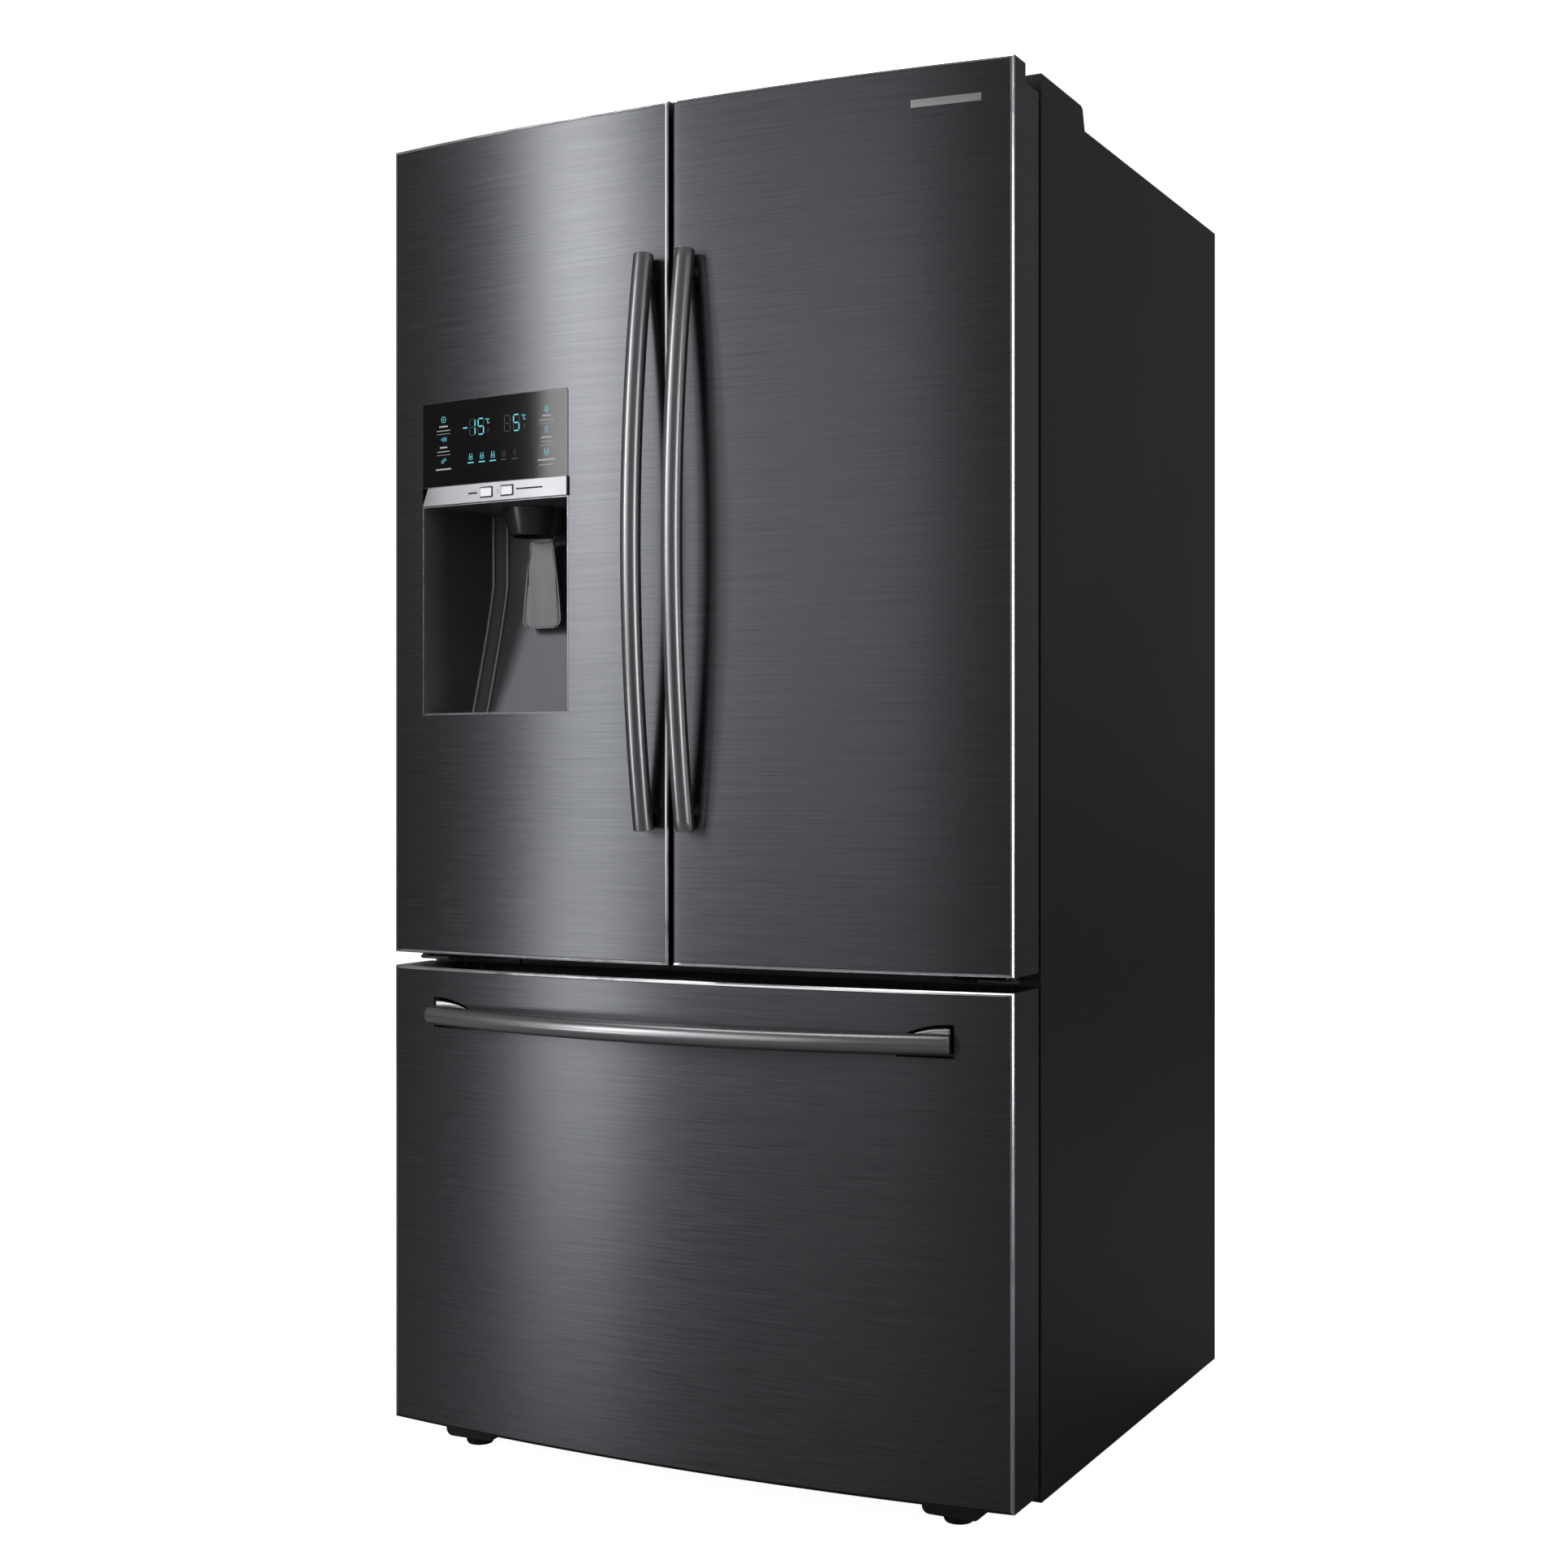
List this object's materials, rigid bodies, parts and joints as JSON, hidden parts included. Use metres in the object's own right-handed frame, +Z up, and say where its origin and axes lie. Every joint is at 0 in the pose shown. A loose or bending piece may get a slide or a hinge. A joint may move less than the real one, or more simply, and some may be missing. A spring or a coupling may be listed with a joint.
{
  "type": "french door refrigerator",
  "caption": "Freestanding refrigerator with two side-hinged upper doors, an ice and water dispenser, and a pull-out freezer drawer below.",
  "frame": {"origin": "on the floor, under the middle of the whole object's bounding box", "axes": "+X to the right seen from the front, +Y towards the back, +Z up; the doors face -Y"},
  "size_m": [0.908, 0.9327, 1.778],
  "materials": {
    "dark_steel": "dark graphite brushed steel, horizontal grain",
    "case_paint": "satin near-black paint",
    "black_plastic": "black moulded plastic",
    "grey_plastic": "grey moulded plastic",
    "white_plastic": "white liner plastic",
    "clear_plastic": "clear moulded plastic",
    "shelf_glass": "tempered glass in a plastic rim",
    "rubber": "grey gasket rubber",
    "zinc": "zinc-plated sheet steel",
    "foam": "polyurethane foam",
    "black_glass": "glossy black glass",
    "satin_silver": "satin silver",
    "handle_metal": "dark satin metal tube",
    "dark_plastic": "dark satin plastic"
  },
  "bodies": {
    "cabinet": {"outer_case": "case_paint", "cabinet_foam": "foam", "fridge_liner": "white_plastic", "freezer_liner": "white_plastic", "back_panel": "zinc", "machine_cover": "zinc", "base_pan": "zinc", "compressor": "black_plastic", "condenser": "zinc", "evaporator": "zinc", "right_top_hinge": "zinc", "left_top_hinge": "zinc", "right_hinge_cover": "black_plastic", "left_hinge_cover": "black_plastic", "right_middle_hinge": "black_plastic", "left_middle_hinge": "black_plastic", "right_foot_bracket": "black_plastic", "left_foot_bracket": "black_plastic", "upper_right_shelf": "shelf_glass", "lower_right_shelf": "shelf_glass", "lower_left_shelf": "shelf_glass", "crisper_cover": "shelf_glass", "ice_maker": "white_plastic", "right_fixed_rail": "zinc", "left_fixed_rail": "zinc"},
    "left_door": {"left_door_skin": "dark_steel", "left_door_liner": "white_plastic", "left_door_gasket": "rubber", "left_handle": "handle_metal", "dispenser_housing": "dark_plastic", "control_panel": "black_glass", "dispenser_bar": "satin_silver", "ice_chute": "dark_plastic", "left_upper_bin": "clear_plastic", "left_lower_bin": "clear_plastic"},
    "right_door": {"right_door_skin": "dark_steel", "right_door_liner": "white_plastic", "right_door_gasket": "rubber", "right_handle": "handle_metal", "right_upper_bin": "clear_plastic", "right_middle_bin": "clear_plastic", "right_lower_bin": "clear_plastic"},
    "freezer_drawer": {"drawer_skin": "dark_steel", "drawer_liner": "white_plastic", "drawer_gasket": "rubber", "drawer_frame": "zinc", "freezer_basket": "clear_plastic"},
    "drawer_handle": {"drawer_handle": "handle_metal"},
    "freezer_tray": {"freezer_tray": "clear_plastic"},
    "centre_flap": {"centre_flap": "grey_plastic"},
    "dispenser_paddle": {"dispenser_paddle": "grey_plastic"},
    "water_button": {"water_button": "satin_silver"},
    "ice_button": {"ice_button": "satin_silver"},
    "left_foot": {"left_foot": "black_plastic"},
    "right_foot": {"right_foot": "black_plastic"},
    "left_rear_roller": {"left_rear_roller": "black_plastic"},
    "right_rear_roller": {"right_rear_roller": "black_plastic"},
    "left_crisper": {"left_crisper": "clear_plastic"},
    "right_crisper": {"right_crisper": "clear_plastic"},
    "condenser_fan": {"condenser_fan": "white_plastic"}
  },
  "joints": [
    {"name": "left_door_swing", "type": "hinge", "parent": "cabinet", "child": "left_door", "pos_m": [-0.432, -0.3285, 1.2], "axis": [0, 0, -1], "range_deg": [0, 120]},
    {"name": "right_door_swing", "type": "hinge", "parent": "cabinet", "child": "right_door", "pos_m": [0.432, -0.3285, 1.2], "axis": [0, 0, 1], "range_deg": [0, 120]},
    {"name": "freezer_drawer_slide", "type": "slide", "parent": "cabinet", "child": "freezer_drawer", "axis": [0, -1, 0], "range_m": [0, 0.42]},
    {"name": "freezer_tray_slide", "type": "slide", "parent": "cabinet", "child": "freezer_tray", "axis": [0, -1, 0], "range_m": [0, 0.3]},
    {"name": "drawer_handle_lift", "type": "hinge", "parent": "freezer_drawer", "child": "drawer_handle", "pos_m": [0, -0.3785, 0.593], "axis": [-1, 0, 0], "range_deg": [0, 8], "stiffness_Nm_per_rad": 6},
    {"name": "centre_flap_fold", "type": "hinge", "parent": "left_door", "child": "centre_flap", "pos_m": [-0.017, -0.2745, 1.2], "axis": [0, 0, -1], "range_deg": [0, 90]},
    {"name": "dispenser_paddle_push", "type": "hinge", "parent": "left_door", "child": "dispenser_paddle", "pos_m": [-0.2785, -0.2775, 1.241], "axis": [1, 0, 0], "range_deg": [0, 6], "stiffness_Nm_per_rad": 0.4},
    {"name": "water_button_press", "type": "slide", "parent": "left_door", "child": "water_button", "axis": [0, 1, 0], "range_m": [0, 0.0012], "stiffness_N_per_m": 600},
    {"name": "ice_button_press", "type": "slide", "parent": "left_door", "child": "ice_button", "axis": [0, 1, 0], "range_m": [0, 0.0012], "stiffness_N_per_m": 600},
    {"name": "left_crisper_slide", "type": "slide", "parent": "cabinet", "child": "left_crisper", "axis": [0, -1, 0], "range_m": [0, 0.08]},
    {"name": "right_crisper_slide", "type": "slide", "parent": "cabinet", "child": "right_crisper", "axis": [0, -1, 0], "range_m": [0, 0.08]},
    {"name": "left_foot_turn", "type": "hinge", "parent": "cabinet", "child": "left_foot", "pos_m": [-0.357, -0.3125, 0.01], "axis": [0, 0, 1], "continuous": true},
    {"name": "right_foot_turn", "type": "hinge", "parent": "cabinet", "child": "right_foot", "pos_m": [0.357, -0.3125, 0.01], "axis": [0, 0, 1], "continuous": true},
    {"name": "left_roller_roll", "type": "hinge", "parent": "cabinet", "child": "left_rear_roller", "pos_m": [-0.34, 0.4065, 0.02], "axis": [1, 0, 0], "continuous": true},
    {"name": "right_roller_roll", "type": "hinge", "parent": "cabinet", "child": "right_rear_roller", "pos_m": [0.34, 0.4065, 0.02], "axis": [1, 0, 0], "continuous": true},
    {"name": "condenser_fan_spin", "type": "hinge", "parent": "cabinet", "child": "condenser_fan", "pos_m": [-0.04, 0.3715, 0.13], "axis": [1, 0, 0], "continuous": true}
  ],
  "couplings": [
    {"joint": "freezer_tray_slide", "follows": "freezer_drawer_slide", "ratio": 0.7}
  ]
}
